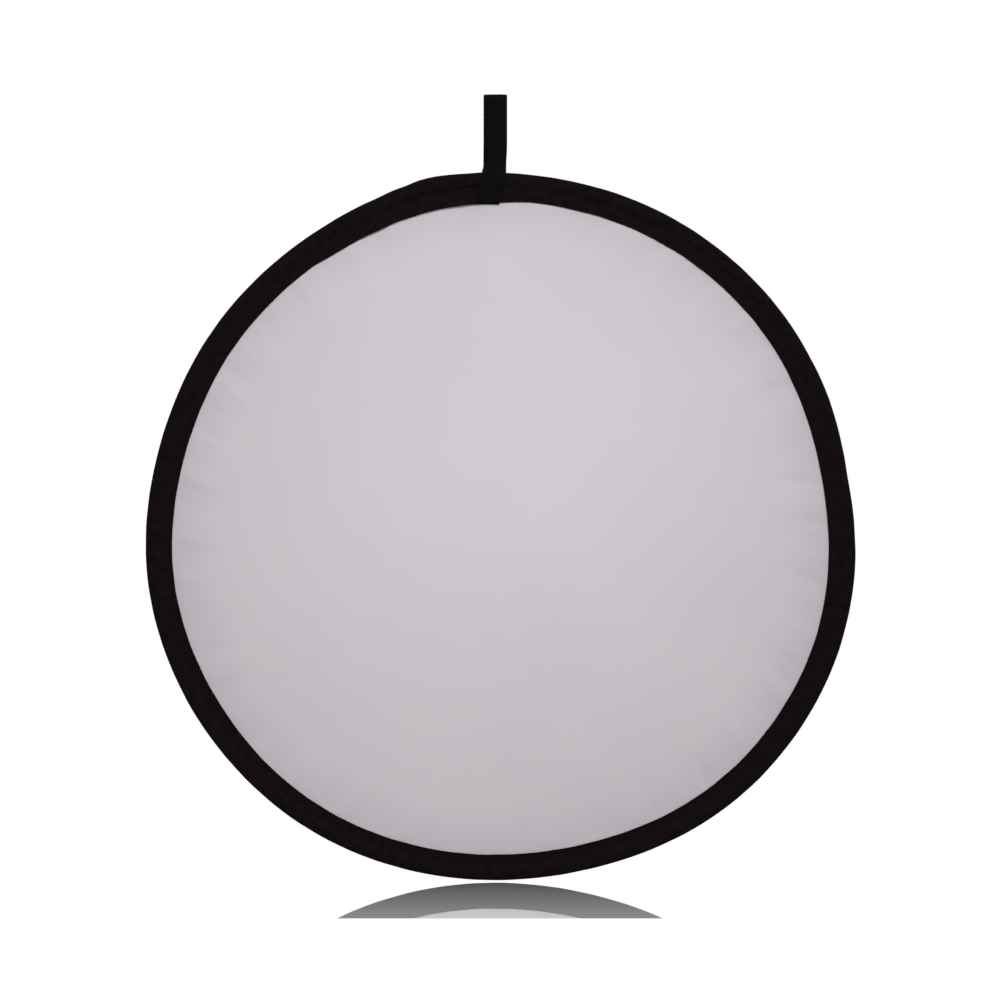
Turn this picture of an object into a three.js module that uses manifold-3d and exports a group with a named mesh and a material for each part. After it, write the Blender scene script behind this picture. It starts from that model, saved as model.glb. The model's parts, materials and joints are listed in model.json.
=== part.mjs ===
// A collapsible reflector disc, hanging by its strap loop from a hook.
//
// A hoop of flat spring steel is sewn into a cloth binding, which also holds the edges of two
// fabric panels, white in front and silver behind. The hoop folds in half across its middle,
// so every piece that crosses that line is an upper and a lower piece.
//
// Millimetres, +Z up, the white side faces -Y. The origin is the hang point, inside the top
// fold of the loop. Places round the rim are degrees clockwise from the top, seen from the
// front, so 90 is at +X. "Inset" is a distance in from the rim's outer edge.

import * as THREE from 'three';
import { mergeVertices } from 'three/addons/utils/BufferGeometryUtils.js';
import Module from 'manifold-3d';

const wasm = await Module();
wasm.setup();

// ---- Driving dimensions -------------------------------------------------------------------

const GAP = 0.3;              // play between neighbouring pieces

const RIM_RADIUS = 300.4;     // mean outer radius of the bound rim
const DISC_DROP = 367.7;      // from the hang point down to the middle of the disc
const DISC_SHIFT = 5;         // the strap is sewn on this far to the left of the middle
const SPLIT_GAP = 0.4;        // between the upper and the lower pieces, at 90 and 270 degrees

// A sprung band is never quite round. Each wave: how many lobes, how high, and where one is.
const RIM_WAVES = [
  { lobes: 2, rise: 1.0, at: 68 },
  { lobes: 3, rise: 2.6, at: 5 },
  { lobes: 4, rise: 0.9, at: 37 },
  { lobes: 5, rise: 0.7, at: -21 },
  { lobes: 7, rise: 0.4, at: 0 },
  { lobes: 9, rise: 0.3, at: -18 },
];

// The band's ends are joined in a straight sleeve, which keeps the rim straight there and
// pushes it out at the sleeve's ends.
const JOINT_AT = -9;
const JOINT_HALF = 4.3;       // half of the straight part, in degrees
const JOINT_RADIUS = 304.1;   // of the rim at the ends of the straight part
const JOINT_EASE_LEFT = 8.5;  // degrees over which the rim comes back to its own curve
const JOINT_EASE_RIGHT = 13;

const BAND_WIDTH = 5;
const BAND_THICK = 1;
const BAND_INSET = 4.8;       // of the middle of the band
const BAND_END_MARGIN = 0.4;  // degrees that a band end stops short of the sleeve's mouth

const SLEEVE_WALL = 0.5;
const TUBE_WALL = 0.4;
const TUBE_OVERHANG = 2;      // of the shrink tube past each end of the sleeve
const RIVET_RADIUS = 0.8;
const RIVET_HEAD_RADIUS = 1.7;
const RIVET_HEAD_HEIGHT = 0.5;
const RIVET_SPACING = 24;

const CLOTH = 0.6;            // thickness of the binding cloth
const BINDING_DEPTH = 22.2;   // of the binding, from the rim's edge to its inner edge
const CHANNEL_END = 8.7;      // inset where the binding starts to close in from the band
const LEAF_START = 11.6;      // inset where its two leaves are flat on the panels
const NOSE_ROUND = 0.7;       // rounding of the binding's outer edge

// The binding's closing end laps over its beginning, and is wider towards the strap.
const LAP_FROM = -25;
const LAP_TO = -4;
const LAP_DEPTH_FROM = 22.8;
const LAP_DEPTH_TO = 27;

const PANEL = 0.4;            // thickness of a panel
const PANEL_INSET = 12;       // the panels' edges stop short of the band

const THREAD = 0.5;
const SEAM_INSET = 19.7;      // of the row of stitches through binding and panels
const THREAD_SIDES = 5;

const STRAP_WIDTH = 19;
const STRAP_THICK = 1.2;
const STRAP_LEG = 25.5;       // how far the sewn ends reach down from the top of the rim
const LOOP_HALF_GAP = 4;      // half of the gap that a hook goes through
const LOOP_STRAIGHT_TO = -34; // below this height the loop draws together
const HINGE_RISE = 3;         // the strap bends this far above the rim
const TACK_LENGTH = 14;
const TACK_HEIGHT = 1.4;
const TACK_TURNS = 14;

const COARSE_STEP = 4;        // degrees between stations round the rim
const FINE_STEP = 1;          // the same, near the joint
const FINE_FROM = -32;
const FINE_TO = 8;

// ---- Worked out from them -----------------------------------------------------------------

const PANEL_HALF_GAP = GAP / 2;
const LEAF_HALF = PANEL_HALF_GAP + PANEL + GAP;           // inside of a binding leaf
const CHANNEL_HALF = BAND_WIDTH / 2 + GAP;                // inside of the band's channel
const LAP_RISE = GAP + CLOTH;                             // the lap lies this far further out

const SLEEVE_LENGTH = 2 * JOINT_RADIUS * Math.sin(THREE.MathUtils.degToRad(JOINT_HALF));
const BAND_SHIFT = (BAND_THICK + GAP) / 2;                // of each band end, in the sleeve
const SLEEVE_HALF_Y = BAND_WIDTH / 2 + GAP;               // half of the sleeve's bore, each way
const SLEEVE_HALF_R = BAND_SHIFT + BAND_THICK / 2 + GAP;
const HEAD_FROM = SLEEVE_HALF_R + SLEEVE_WALL + GAP;      // underside of a rivet head
const TUBE_HALF_Y = SLEEVE_HALF_Y + SLEEVE_WALL + GAP;
const TUBE_HALF_R = HEAD_FROM + RIVET_HEAD_HEIGHT + GAP;
const SWELL = TUBE_HALF_Y + TUBE_WALL + GAP - CHANNEL_HALF; // of the binding over the tube
const SWELL_HALF = 5;                                     // degrees, each side of the joint
const SPLIT_DEG = THREE.MathUtils.radToDeg(SPLIT_GAP / 2 / RIM_RADIUS);

const UPPER = [-90 + SPLIT_DEG, 90 - SPLIT_DEG];
const LOWER = [90 + SPLIT_DEG, 270 - SPLIT_DEG];

// ---- Materials ----------------------------------------------------------------------------

function material(color, roughness, metalness) {
  return () => new THREE.MeshStandardMaterial({ color, roughness, metalness });
}

const whiteFabric = material(0xd9d6dc, 0.75, 0);
const silverFabric = material(0xb4b7bb, 0.35, 0.6);
const blackCloth = material(0x1a1416, 0.9, 0);
const blackWebbing = material(0x151416, 0.85, 0);
const blackThread = material(0x1d191b, 0.7, 0);
const springSteel = material(0x8d9095, 0.35, 1);
const zincSteel = material(0xb0b3b5, 0.4, 1);
const shrinkPlastic = material(0x202022, 0.5, 0);

// ---- The rim's outline --------------------------------------------------------------------

function sprungRadius(deg) {
  let radius = RIM_RADIUS;
  for (const { lobes, rise, at } of RIM_WAVES) {
    radius += rise * Math.cos(THREE.MathUtils.degToRad(lobes * (deg - at)));
  }
  return radius;
}

function rimRadius(deg) {
  const fromJoint = deg - JOINT_AT;
  const beyond = Math.abs(fromJoint) - JOINT_HALF;
  if (beyond <= 0) {
    const edge = JOINT_RADIUS * Math.cos(THREE.MathUtils.degToRad(JOINT_HALF));
    return edge / Math.cos(THREE.MathUtils.degToRad(fromJoint));
  }
  const ease = fromJoint < 0 ? JOINT_EASE_LEFT : JOINT_EASE_RIGHT;
  const left = 1 - THREE.MathUtils.smoothstep(beyond, 0, ease);
  return THREE.MathUtils.lerp(sprungRadius(deg), JOINT_RADIUS, left);
}

function rimPoint(deg, inset, y) {
  const angle = THREE.MathUtils.degToRad(deg);
  const radius = rimRadius(deg) - inset;
  return new THREE.Vector3(
    DISC_SHIFT + radius * Math.sin(angle),
    y,
    radius * Math.cos(angle) - DISC_DROP,
  );
}

// 1 from one place to another, falling to 0 over a degree beyond each.
function span(deg, from, to) {
  return THREE.MathUtils.clamp(Math.min(deg - from, to - deg) + 1, 0, 1);
}

const swellAt = (deg) => SWELL * span(deg, JOINT_AT - SWELL_HALF, JOINT_AT + SWELL_HALF);
const lapRiseAt = (deg) => LAP_RISE * span(deg, LAP_FROM, LAP_TO);

// The places round the rim where a sweep has a section: its two ends and a shared grid.
function stations([from, to]) {
  const degs = [from];
  let deg = Math.ceil(from / COARSE_STEP) * COARSE_STEP;
  if (from >= FINE_FROM && from < FINE_TO) deg = Math.floor(from) + FINE_STEP;
  while (deg < to) {
    degs.push(deg);
    deg += deg >= FINE_FROM && deg < FINE_TO ? FINE_STEP : COARSE_STEP;
  }
  degs.push(to);
  return degs;
}

// ---- Geometry helpers ---------------------------------------------------------------------

// Sweeps a section round the rim. sectionAt(deg) gives its outline as [inset, y] points, which
// run anticlockwise with inset to the right and y up.
function rimSweep(range, sectionAt) {
  const degs = stations(range);
  const positions = [];
  for (const deg of degs) {
    for (const [inset, y] of sectionAt(deg)) {
      positions.push(...rimPoint(deg, inset, y).toArray());
    }
  }
  const outline = sectionAt(degs[0]).map(([inset, y]) => new THREE.Vector2(inset, y));
  const count = outline.length;
  const indices = [];
  for (let ring = 0; ring < degs.length - 1; ring += 1) {
    for (let k = 0; k < count; k += 1) {
      const next = (k + 1) % count;
      const a = ring * count + k;
      const b = ring * count + next;
      // The diagonal starts at the deeper point, so that layers over each other stay parallel.
      if (outline[k].x > outline[next].x) indices.push(a, b, b + count, a, b + count, a + count);
      else indices.push(a, b, a + count, b, b + count, a + count);
    }
  }
  const lastRing = (degs.length - 1) * count;
  for (const [a, b, c] of THREE.ShapeUtils.triangulateShape(outline, [])) {
    indices.push(a, c, b, lastRing + a, lastRing + b, lastRing + c);
  }
  const geometry = new THREE.BufferGeometry();
  geometry.setAttribute('position', new THREE.Float32BufferAttribute(positions, 3));
  geometry.setIndex(indices);
  geometry.computeVertexNormals();
  return geometry;
}

function rectangle(halfWidth, halfHeight) {
  return [
    new THREE.Vector2(-halfWidth, -halfHeight),
    new THREE.Vector2(halfWidth, -halfHeight),
    new THREE.Vector2(halfWidth, halfHeight),
    new THREE.Vector2(-halfWidth, halfHeight),
  ];
}

// Extrudes a shape drawn in Y (right) and Z (up) along X, centred on X = 0.
function extrudeAlongX(shape, length) {
  const geometry = new THREE.ExtrudeGeometry(shape, { depth: length, bevelEnabled: false });
  geometry.translate(0, 0, -length / 2);
  const basis = new THREE.Matrix4().makeBasis(
    new THREE.Vector3(0, 1, 0),
    new THREE.Vector3(0, 0, 1),
    new THREE.Vector3(1, 0, 0),
  );
  return geometry.applyMatrix4(basis);
}

// Extrudes a shape drawn in X (right) and Z (up) towards -Y, from the given y.
function extrudeForward(shape, depth, y) {
  const geometry = new THREE.ExtrudeGeometry(shape, { depth, bevelEnabled: false });
  geometry.rotateX(Math.PI / 2);
  return geometry.translate(0, y, 0);
}

function toManifold(geometry) {
  const bare = geometry.clone();
  for (const name of Object.keys(bare.attributes)) {
    if (name !== 'position') bare.deleteAttribute(name);
  }
  const merged = mergeVertices(bare);
  return new wasm.Manifold(new wasm.Mesh({
    numProp: 3,
    vertProperties: new Float32Array(merged.attributes.position.array),
    triVerts: new Uint32Array(merged.index.array),
  }));
}

function subtract(geometry, cutters) {
  let solid = toManifold(geometry);
  for (const cutter of cutters) solid = solid.subtract(toManifold(cutter));
  const mesh = solid.getMesh();
  const result = new THREE.BufferGeometry();
  result.setAttribute('position', new THREE.BufferAttribute(mesh.vertProperties, 3));
  result.setIndex(new THREE.BufferAttribute(mesh.triVerts, 1));
  result.computeVertexNormals();
  return result;
}

const reflector = new THREE.Group();

function add(name, geometry, makeMaterial, parent = reflector) {
  const mesh = new THREE.Mesh(geometry, makeMaterial());
  mesh.name = name;
  parent.add(mesh);
  return mesh;
}

// ---- Spring band --------------------------------------------------------------------------

// side is +1 for the end that lies outside in the sleeve, -1 for the one inside it.
function bandSection(side) {
  return (deg) => {
    const shift = side * BAND_SHIFT * span(deg, JOINT_AT - SWELL_HALF, JOINT_AT + SWELL_HALF);
    const middle = BAND_INSET - shift;
    return rectangle(BAND_THICK / 2, BAND_WIDTH / 2).map(({ x, y }) => [middle + x, y]);
  };
}

// The group at the middle of the joint: Z points out of the hoop, X runs along the band.
function jointFrame() {
  const frame = new THREE.Group();
  frame.position.copy(rimPoint(JOINT_AT, BAND_INSET, 0));
  frame.rotation.y = THREE.MathUtils.degToRad(JOINT_AT);
  frame.updateMatrix();
  return frame;
}

const joint = jointFrame();
const rivetPlaces = [-RIVET_SPACING / 2, RIVET_SPACING / 2];

// Cutters for the rivet holes, in the joint's own frame or in the whole object's.
function rivetCutters(matrix) {
  return rivetPlaces.map((x) => {
    const cutter = new THREE.CylinderGeometry(RIVET_RADIUS + GAP, RIVET_RADIUS + GAP, 8, 12);
    cutter.rotateX(Math.PI / 2);
    cutter.translate(x, 0, 0);
    return matrix ? cutter.applyMatrix4(matrix) : cutter;
  });
}

function buildBand() {
  const leftEnd = JOINT_AT - JOINT_HALF + BAND_END_MARGIN;
  const rightEnd = JOINT_AT + JOINT_HALF - BAND_END_MARGIN;
  const holes = rivetCutters(joint.matrix);
  const left = rimSweep([UPPER[0], rightEnd], bandSection(-1));
  const right = rimSweep([leftEnd, UPPER[1]], bandSection(1));
  add('spring_band_left_end', subtract(left, holes), springSteel);
  add('spring_band_right_end', subtract(right, holes), springSteel);
  add('spring_band_lower', rimSweep(LOWER, bandSection(1)), springSteel);
}

// A rectangular tube along X, open at both ends.
function boxTube(halfR, halfY, wall, length) {
  const shape = new THREE.Shape(rectangle(halfY + wall, halfR + wall));
  shape.holes.push(new THREE.Path(rectangle(halfY, halfR)));
  return extrudeAlongX(shape, length);
}

function rivetGeometry() {
  const top = HEAD_FROM + RIVET_HEAD_HEIGHT;
  const rim = HEAD_FROM + RIVET_HEAD_HEIGHT / 2;
  const profile = [
    [0, -top],
    [RIVET_HEAD_RADIUS / 2, -top],
    [RIVET_HEAD_RADIUS, -rim],
    [RIVET_HEAD_RADIUS, -HEAD_FROM],
    [RIVET_RADIUS, -HEAD_FROM],
    [RIVET_RADIUS, HEAD_FROM],
    [RIVET_HEAD_RADIUS, HEAD_FROM],
    [RIVET_HEAD_RADIUS, rim],
    [RIVET_HEAD_RADIUS / 2, top],
    [0, top],
  ];
  const lathe = new THREE.LatheGeometry(profile.map(([x, y]) => new THREE.Vector2(x, y)), 12);
  return lathe.rotateX(Math.PI / 2);
}

function buildJoint() {
  const sleeve = boxTube(SLEEVE_HALF_R, SLEEVE_HALF_Y, SLEEVE_WALL, SLEEVE_LENGTH);
  add('joint_sleeve', subtract(sleeve, rivetCutters(null)), zincSteel, joint);
  rivetPlaces.forEach((x, index) => {
    add(`joint_rivet_${index + 1}`, rivetGeometry(), zincSteel, joint).position.x = x;
  });
  const tube = boxTube(TUBE_HALF_R, TUBE_HALF_Y, TUBE_WALL, SLEEVE_LENGTH + 2 * TUBE_OVERHANG);
  add('joint_shrink_tube', tube, shrinkPlastic, joint);
  reflector.add(joint);
}

// ---- Binding ------------------------------------------------------------------------------

// Half of the surface that lies grow millimetres outside the binding's inside, from the edge
// of the leaf to the rim, as [inset, y] points.
function wrapLine(grow, depth, swell) {
  const nose = CLOTH - grow;
  const leaf = LEAF_HALF + grow;
  const channel = CHANNEL_HALF + swell + grow;
  const slant = grow / 2;
  return [
    [depth, leaf],
    [LEAF_START + slant, leaf],
    [CHANNEL_END + slant, channel],
    [nose + NOSE_ROUND, channel],
    [nose, channel - NOSE_ROUND],
  ];
}

// The whole section of a cloth wrapped round the edge, lying between two of those surfaces.
function wrapSection(innerGrow, depth, swell) {
  const outer = wrapLine(innerGrow + CLOTH, depth, swell);
  const inner = wrapLine(innerGrow, depth, swell);
  const mirrored = (line) => line.map(([inset, y]) => [inset, -y]);
  return [
    ...outer,
    ...mirrored(outer).reverse(),
    ...mirrored(inner),
    ...[...inner].reverse(),
  ];
}

function lapSection(deg) {
  const along = (deg - LAP_FROM) / (LAP_TO - LAP_FROM);
  const depth = THREE.MathUtils.lerp(LAP_DEPTH_FROM, LAP_DEPTH_TO, along);
  return wrapSection(LAP_RISE, depth, swellAt(deg));
}

function buildBinding() {
  const section = (deg) => wrapSection(0, BINDING_DEPTH, swellAt(deg));
  add('binding_upper', rimSweep(UPPER, section), blackCloth);
  add('binding_lower', rimSweep(LOWER, section), blackCloth);
  add('binding_lap', rimSweep([LAP_FROM, LAP_TO], lapSection), blackCloth);
}

// ---- Panels -------------------------------------------------------------------------------

function panelShape(range) {
  const points = stations(range).map((deg) => rimPoint(deg, PANEL_INSET, 0));
  return new THREE.Shape(points.map(({ x, z }) => new THREE.Vector2(x, z)));
}

function buildPanels() {
  for (const [half, range] of [['upper', UPPER], ['lower', LOWER]]) {
    const shape = panelShape(range);
    const front = extrudeForward(shape, PANEL, -PANEL_HALF_GAP);
    const back = extrudeForward(shape, PANEL, PANEL_HALF_GAP + PANEL);
    add(`front_panel_${half}`, front, whiteFabric);
    add(`back_panel_${half}`, back, silverFabric);
  }
}

// ---- Seam threads -------------------------------------------------------------------------

// side is -1 for the thread that shows in front, +1 for the one behind.
function threadSection(side) {
  return (deg) => {
    const y = side * (LEAF_HALF + CLOTH + lapRiseAt(deg) + GAP + THREAD / 2);
    const section = [];
    for (let k = 0; k < THREAD_SIDES; k += 1) {
      const turn = (2 * Math.PI * k) / THREAD_SIDES;
      section.push([SEAM_INSET + (THREAD / 2) * Math.cos(turn), y + (THREAD / 2) * Math.sin(turn)]);
    }
    return section;
  };
}

function buildSeams() {
  for (const [half, range] of [['upper', UPPER], ['lower', LOWER]]) {
    add(`seam_thread_front_${half}`, rimSweep(range, threadSection(-1)), blackThread);
    add(`seam_thread_back_${half}`, rimSweep(range, threadSection(1)), blackThread);
  }
}

// ---- Strap --------------------------------------------------------------------------------

// Heights of the rim at the strap's two edges.
const rimAtStrap = [-1, 1].map((side) => {
  const x = (side * STRAP_WIDTH) / 2 - DISC_SHIFT;
  return rimPoint(THREE.MathUtils.radToDeg(Math.asin(x / RIM_RADIUS)), 0, 0).z;
});
const RIM_TOP = Math.max(...rimAtStrap);
const RIM_DROP = RIM_TOP - Math.min(...rimAtStrap);
const HINGE_Z = RIM_TOP + HINGE_RISE;

// One face of the loop's webbing, from its right foot over the top to its left foot.
function loopFace(path, out) {
  const foot = HINGE_Z + GAP;
  const halfFoot = GAP / 2 + out;
  const half = LOOP_HALF_GAP + out;
  const bend = (LOOP_STRAIGHT_TO - foot) / 2;
  path.moveTo(halfFoot, foot);
  path.bezierCurveTo(halfFoot, foot + bend, half, foot + bend, half, LOOP_STRAIGHT_TO);
  path.lineTo(half, -LOOP_HALF_GAP);
  path.absarc(0, -LOOP_HALF_GAP, half, 0, Math.PI, false);
  path.lineTo(-half, LOOP_STRAIGHT_TO);
  path.bezierCurveTo(-half, foot + bend, -halfFoot, foot + bend, -halfFoot, foot);
  return path;
}

function buildLoop() {
  const outer = loopFace(new THREE.Path(), STRAP_THICK).getPoints(8);
  const inner = loopFace(new THREE.Path(), 0).getPoints(8).reverse();
  const shape = new THREE.Shape([...outer, ...inner]);
  add('strap_loop', extrudeAlongX(shape, STRAP_WIDTH), blackWebbing);
}

// The leg lies on the binding: high over the band, lower where the leaves are.
function legLine(side, out) {
  const high = CHANNEL_HALF + CLOTH + 2 * GAP + out;
  const low = LEAF_HALF + CLOTH + 2 * GAP + THREAD + out;
  return [
    [side * high, RIM_TOP],
    [side * high, RIM_TOP - RIM_DROP - CHANNEL_END - out / 2],
    [side * low, RIM_TOP - RIM_DROP - LEAF_START - out / 2],
    [side * low, RIM_TOP - STRAP_LEG],
  ];
}

function buildLeg(name, side) {
  const outline = [...legLine(side, 0), ...legLine(side, STRAP_THICK).reverse()];
  const shape = new THREE.Shape(outline.map(([y, z]) => new THREE.Vector2(y, z)));
  add(`strap_leg_${name}`, extrudeAlongX(shape, STRAP_WIDTH), blackWebbing);
}

// A bar tack: one thread running to and fro across the strap.
function tackShape() {
  const upper = [];
  const lower = [];
  for (let turn = 0; turn <= TACK_TURNS; turn += 1) {
    const x = TACK_LENGTH * (turn / TACK_TURNS - 1 / 2);
    const z = (turn % 2 === 0 ? 1 : -1) * (TACK_HEIGHT - THREAD) / 2;
    upper.unshift(new THREE.Vector2(x, z + THREAD / 2));
    lower.push(new THREE.Vector2(x, z - THREAD / 2));
  }
  return new THREE.Shape([...lower, ...upper]);
}

function buildTacks(name, side) {
  const [high, , , low] = legLine(side, STRAP_THICK + GAP);
  const places = [
    ['upper', high[0], RIM_TOP - CHANNEL_END / 2],
    ['lower', low[0], RIM_TOP - SEAM_INSET],
  ];
  for (const [place, y, z] of places) {
    const tack = extrudeForward(tackShape(), THREAD, side > 0 ? y + THREAD : y);
    add(`strap_tack_${name}_${place}`, tack.translate(0, 0, z), blackThread);
  }
}

function buildStrap() {
  buildLoop();
  for (const [name, side] of [['front', -1], ['back', 1]]) {
    buildLeg(name, side);
    buildTacks(name, side);
  }
}

buildBand();
buildJoint();
buildBinding();
buildPanels();
buildSeams();
buildStrap();

export default reflector;
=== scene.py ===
"""The looks of a collapsible reflector disc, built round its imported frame.

Metres, +Z up, the white side faces -Y. Places round the rim are degrees clockwise from the
top, seen from the front, so 90 is at +X. An inset is a distance in from the rim's outer edge.
"""
import json
import math

import bmesh
import bpy
import numpy as np
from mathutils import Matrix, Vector


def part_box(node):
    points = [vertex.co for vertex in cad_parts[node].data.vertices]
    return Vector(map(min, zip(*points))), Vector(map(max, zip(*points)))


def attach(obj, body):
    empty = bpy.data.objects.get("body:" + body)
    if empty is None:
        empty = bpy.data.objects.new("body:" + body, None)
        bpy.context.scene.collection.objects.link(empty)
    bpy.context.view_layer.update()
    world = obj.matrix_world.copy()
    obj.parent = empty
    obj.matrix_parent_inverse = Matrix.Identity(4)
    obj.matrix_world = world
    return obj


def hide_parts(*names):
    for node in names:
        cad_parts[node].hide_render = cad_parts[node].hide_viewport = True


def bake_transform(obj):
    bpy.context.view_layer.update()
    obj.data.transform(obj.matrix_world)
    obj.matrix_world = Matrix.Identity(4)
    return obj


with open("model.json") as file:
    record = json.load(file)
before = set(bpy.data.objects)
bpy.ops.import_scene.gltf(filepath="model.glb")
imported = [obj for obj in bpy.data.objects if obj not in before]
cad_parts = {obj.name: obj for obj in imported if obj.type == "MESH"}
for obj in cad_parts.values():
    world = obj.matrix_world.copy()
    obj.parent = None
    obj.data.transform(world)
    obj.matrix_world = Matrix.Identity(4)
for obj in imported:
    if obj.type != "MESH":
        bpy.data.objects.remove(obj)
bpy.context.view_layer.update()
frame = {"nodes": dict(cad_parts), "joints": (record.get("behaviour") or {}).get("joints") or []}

MM = 0.001
JOINTS = {joint["name"]: joint for joint in frame["joints"]}

# ---- Places and sizes, from the frame ------------------------------------------------------

FOLD_AT = Vector(JOINTS["half_fold"]["pos_m"])
CENTRE_X, CENTRE_Z = FOLD_AT.x, FOLD_AT.z
HINGE_Z = JOINTS["disc_swing"]["pos_m"][2]
RIM_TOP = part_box("strap_leg_front")[1].z
LEG_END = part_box("strap_leg_front")[0].z
LOOP_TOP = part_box("strap_loop")[1].z
FLOOR_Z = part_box("binding_lower")[0].z

# ---- The rim's outline, by the formula that made the frame's parts --------------------------

RIM_RADIUS = 300.4 * MM
# A sprung band is never quite round. Each wave: how many lobes, how high, and where one is.
# A separate program fitted these six to the photo's outline.
RIM_WAVES = (
    (2, 1.0 * MM, 68), (3, 2.6 * MM, 5), (4, 0.9 * MM, 37),
    (5, 0.7 * MM, -21), (7, 0.4 * MM, 0), (9, 0.3 * MM, -18),
)
JOINT_AT = -9                  # the middle of the straight stretch over the band joint
JOINT_HALF = 4.3               # degrees from there to each end of it
JOINT_RADIUS = 304.1 * MM      # at its two ends
JOINT_EASE_LEFT = 8.5          # degrees over which the rim comes back to its own line
JOINT_EASE_RIGHT = 13

BAND_INSET = 4.8 * MM
BAND_WIDTH = 5 * MM
BAND_THICK = 1 * MM
BAND_SHIFT = 0.65 * MM         # of each band end, where the two lie on each other
BAND_ENDS = (-12.9, -5.1)      # where the band starts, and ends after more than a turn

CLOTH = 0.6 * MM
LAP_RISE = 0.75 * MM           # of the binding's second layer over its first
LAP_EASE = (-30, -22)          # places between which the second layer climbs
LAP_END = -0.4                 # place where it ends, under the strap
DEPTH_GAIN = 0.3 * MM          # of the tape's depth, all round
DEPTH_SWAY = 0.8 * MM          # it is this much deeper at the top, and shallower at the bottom
BINDING_FROM = -20.5           # the tape's beginning, under its own end
BINDING_TO = 359.6             # its end, under the strap
# Along the tape from its beginning: it widens by this much, between these places.
DEPTH_STEPS = (
    (2.6 * MM, -12, -4), (-3.2 * MM, -1.5, 5.5), (0.6 * MM, 9, 13), (1.5 * MM, 324, 329),
    (2.2 * MM, 340, 345), (-1.2 * MM, 346, 349), (1.2 * MM, 353, 357),
)
SWELL = 1.5 * MM               # of the binding over the band joint
SWELL_HALF = 5                 # degrees
SWELL_EASE = 1.5
# Where the binding stands out from the band's own line, or is pulled in towards it: how far,
# at which place, and over how many degrees to each side.
BULGES = (
    (-0.9 * MM, -15.4, 2.4), (1.15 * MM, -10.4, 2.8), (-1.05 * MM, -4.3, 2.0), (0.6 * MM, 6.5, 5),
    (0.6 * MM, 68, 5), (-0.75 * MM, 81, 4), (0.6 * MM, 96, 5), (0.65 * MM, -121, 9),
)
SEAM_INSET = 19.7 * MM
SEAM_Y = 1.3 * MM              # of the binding's surface along the row of stitches

PANEL_INSET = 12 * MM
PANEL_Y = 0.35 * MM
PANEL_THICK = 0.3 * MM

STRAP_WIDTH = 20.0 * MM
STRAP_PROUD = 0.8 * MM         # of the loop's top over the plain one in the frame
STRAP_SHIFT = -0.6 * MM        # of the whole strap, in x
STRAP_THICK = 1.2 * MM
RIB_PITCH = 1.1 * MM           # from one of the webbing's cross ribs to the next
STRAP_LEAN = 0.5 * MM          # to the left, from the loop down to the rim
LEG_SHIFT = -5.4 * MM          # the front leg slants to the left on its way down
BACK_SLANT = 0.5               # the back leg slants by this share of it


def smooth(value, start, stop):
    t = np.clip((value - start) / (stop - start), 0, 1)
    return t * t * (3 - 2 * t)


def plateau(value, start, stop, ease):
    """1 between start and stop, easing to 0 over ease outside them."""
    return smooth(value, start - ease, start) * (1 - smooth(value, stop, stop + ease))


def over_joint(place, ease):
    """1 over the band joint, easing to 0 over ease degrees at each side."""
    return plateau(place, JOINT_AT - SWELL_HALF, JOINT_AT + SWELL_HALF, ease)


def wrapped(deg):
    """The same place as an angle from -180 to 180."""
    return (np.asarray(deg, float) + 180) % 360 - 180


def wave_sum(waves, deg):
    return sum(rise * np.cos(np.radians(lobes * (deg - at))) for lobes, rise, at in waves)


def rim_radius(deg):
    deg = wrapped(deg)
    sprung = RIM_RADIUS + wave_sum(RIM_WAVES, deg)
    from_joint = deg - JOINT_AT
    straight = JOINT_RADIUS * math.cos(math.radians(JOINT_HALF)) / np.cos(np.radians(from_joint))
    beyond = np.abs(from_joint) - JOINT_HALF
    ease = np.where(from_joint < 0, JOINT_EASE_LEFT, JOINT_EASE_RIGHT)
    left = 1 - smooth(beyond / ease, 0, 1)
    eased = sprung + (JOINT_RADIUS - sprung) * left
    return np.where(beyond <= 0, straight, eased)


def rim_points(deg, inset, y):
    """Points at these places, insets and heights, as an array whose last axis is x, y, z."""
    deg, inset, y = np.broadcast_arrays(deg, inset, y)
    radius = rim_radius(deg) - inset
    x = CENTRE_X + radius * np.sin(np.radians(deg))
    z = CENTRE_Z + radius * np.cos(np.radians(deg))
    return np.stack([x, y, z], axis=-1)


def waves_round(deg, counts, seed):
    """A smooth irregular wave from about -1 to 1 that closes on itself round the rim."""
    rng = np.random.default_rng(seed)
    total = sum(
        np.sin(np.radians(deg) * count + rng.uniform(0, 2 * np.pi)) for count in counts
    )
    return total / math.sqrt(len(counts))


def rim_wave(deg, wave):
    """Such a wave in full: wave is its height, its counts and the seed of its phases."""
    height, counts, seed = wave
    return height * waves_round(deg, counts, seed)


# ---- Meshes --------------------------------------------------------------------------------


def make_object(name, points, faces, corner_uvs):
    """A smooth-shaded mesh object with a UV map in metres, its faces pointing out."""
    mesh = bpy.data.meshes.new(name)
    mesh.from_pydata(points.reshape(-1, 3).tolist(), [], faces)
    layer = mesh.uv_layers.new(name="cloth")
    layer.data.foreach_set("uv", np.asarray(corner_uvs, np.float32).ravel())
    mesh.polygons.foreach_set("use_smooth", [True] * len(mesh.polygons))
    shell = bmesh.new()
    shell.from_mesh(mesh)
    bmesh.ops.recalc_face_normals(shell, faces=shell.faces)
    shell.to_mesh(mesh)
    shell.free()
    obj = bpy.data.objects.new(name, mesh)
    bpy.context.scene.collection.objects.link(obj)
    return obj


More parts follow.
